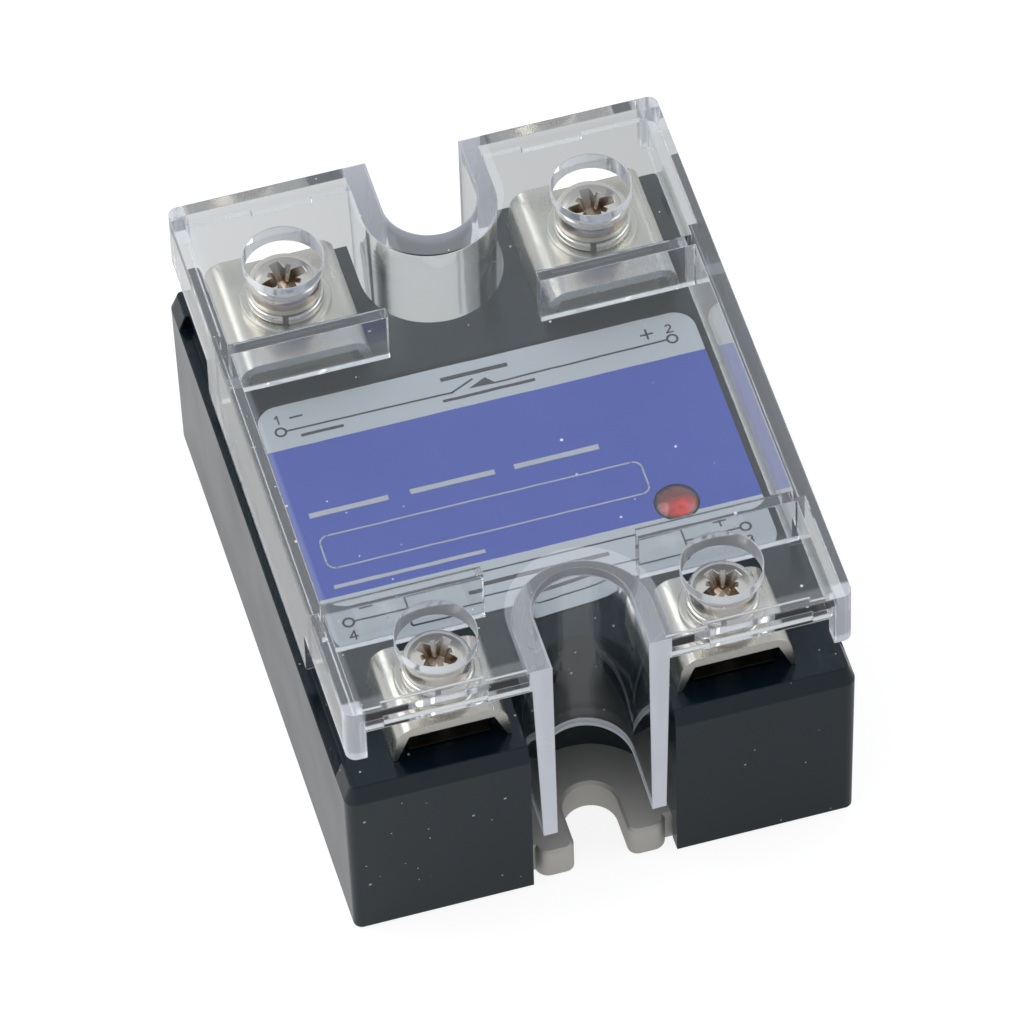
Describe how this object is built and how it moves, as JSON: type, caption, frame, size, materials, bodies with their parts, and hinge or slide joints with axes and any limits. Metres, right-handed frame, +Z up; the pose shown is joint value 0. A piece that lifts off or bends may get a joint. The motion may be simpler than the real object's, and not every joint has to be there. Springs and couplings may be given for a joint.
{
  "type": "solid state relay",
  "caption": "Panel-mount solid state relay with a black housing, metal base plate, saddle-clamp screw terminals, indicator lamp, printed label and lift-off clear cover.",
  "frame": {"origin": "middle of the underside of the base plate", "axes": "+Y towards the output terminals 1 and 2, +X to the right seen from the control terminals, +Z up through the clear cover"},
  "size_m": [0.045, 0.058, 0.03],
  "materials": {
    "base_metal": "satin",
    "black_plastic": "fine moulded texture",
    "clear_plastic": "clear, polished",
    "label_film": "printed film",
    "nickel_plated_steel": "bright nickel plating",
    "nickel_plated_brass": "bright nickel plating",
    "zinc_plated_steel": "zinc plating",
    "white_ceramic": "matt",
    "copper": "bare metal",
    "silicon": "polished",
    "aluminium_wire": "bright",
    "epoxy": "cast",
    "board_laminate": "satin",
    "white_plastic": "satin",
    "ceramic_black": "matt",
    "capacitor_sleeve": "gloss",
    "red_lens": "clear coloured",
    "tinned_wire": "bright"
  },
  "bodies": {
    "base": {"base_plate": "base_metal", "bond_wires": "aluminium_wire", "capacitor": "capacitor_sleeve", "ceramic_sheet": "white_ceramic", "circuit_board": "board_laminate", "copper_tracks": "copper", "current_regulator": "ceramic_black", "gate_driver": "ceramic_black", "housing": "black_plastic", "label": "label_film", "lamp_leads": "tinned_wire", "lamp_lens": "red_lens", "optocoupler": "white_plastic", "potting": "epoxy", "power_chips": "silicon", "resistors": "ceramic_black", "reverse_diode": "ceramic_black", "terminal_1_nut": "zinc_plated_steel", "terminal_1_plate": "nickel_plated_brass", "terminal_2_nut": "zinc_plated_steel", "terminal_2_plate": "nickel_plated_brass", "terminal_3_nut": "zinc_plated_steel", "terminal_3_plate": "nickel_plated_brass", "terminal_4_nut": "zinc_plated_steel", "terminal_4_plate": "nickel_plated_brass"},
    "cover": {"cover": "clear_plastic"},
    "clamp_1": {"terminal_1_clamp": "nickel_plated_steel", "terminal_1_flat_washer": "nickel_plated_steel", "terminal_1_spring_washer": "nickel_plated_steel"},
    "screw_1": {"terminal_1_screw": "nickel_plated_steel"},
    "clamp_2": {"terminal_2_clamp": "nickel_plated_steel", "terminal_2_flat_washer": "nickel_plated_steel", "terminal_2_spring_washer": "nickel_plated_steel"},
    "screw_2": {"terminal_2_screw": "nickel_plated_steel"},
    "clamp_3": {"terminal_3_clamp": "nickel_plated_steel", "terminal_3_flat_washer": "nickel_plated_steel", "terminal_3_spring_washer": "nickel_plated_steel"},
    "screw_3": {"terminal_3_screw": "nickel_plated_steel"},
    "clamp_4": {"terminal_4_clamp": "nickel_plated_steel", "terminal_4_flat_washer": "nickel_plated_steel", "terminal_4_spring_washer": "nickel_plated_steel"},
    "screw_4": {"terminal_4_screw": "nickel_plated_steel"}
  },
  "joints": [
    {"name": "cover_lift", "type": "slide", "parent": "base", "child": "cover", "axis": [0, 0, 1], "range_m": [0, 0.03]},
    {"name": "clamp_1_lift", "type": "slide", "parent": "base", "child": "clamp_1", "axis": [0, 0, 1], "range_m": [0, 0.003]},
    {"name": "screw_1_turn", "type": "hinge", "parent": "clamp_1", "child": "screw_1", "pos_m": [-0.01385, 0.0208, 0.0249], "axis": [0, 0, 1], "range_deg": [0, 1543]},
    {"name": "clamp_2_lift", "type": "slide", "parent": "base", "child": "clamp_2", "axis": [0, 0, 1], "range_m": [0, 0.003]},
    {"name": "screw_2_turn", "type": "hinge", "parent": "clamp_2", "child": "screw_2", "pos_m": [0.01385, 0.0208, 0.0249], "axis": [0, 0, 1], "range_deg": [0, 1543]},
    {"name": "clamp_3_lift", "type": "slide", "parent": "base", "child": "clamp_3", "axis": [0, 0, 1], "range_m": [0, 0.003]},
    {"name": "screw_3_turn", "type": "hinge", "parent": "clamp_3", "child": "screw_3", "pos_m": [0.0125, -0.0226, 0.0249], "axis": [0, 0, 1], "range_deg": [0, 1800.5]},
    {"name": "clamp_4_lift", "type": "slide", "parent": "base", "child": "clamp_4", "axis": [0, 0, 1], "range_m": [0, 0.003]},
    {"name": "screw_4_turn", "type": "hinge", "parent": "clamp_4", "child": "screw_4", "pos_m": [-0.0125, -0.0226, 0.0249], "axis": [0, 0, 1], "range_deg": [0, 1800.5]}
  ],
  "couplings": [
    {"joint": "screw_1_turn", "follows": "clamp_1_lift", "rad_per_m": 8976},
    {"joint": "screw_2_turn", "follows": "clamp_2_lift", "rad_per_m": 8976},
    {"joint": "screw_3_turn", "follows": "clamp_3_lift", "rad_per_m": 10472},
    {"joint": "screw_4_turn", "follows": "clamp_4_lift", "rad_per_m": 10472}
  ]
}
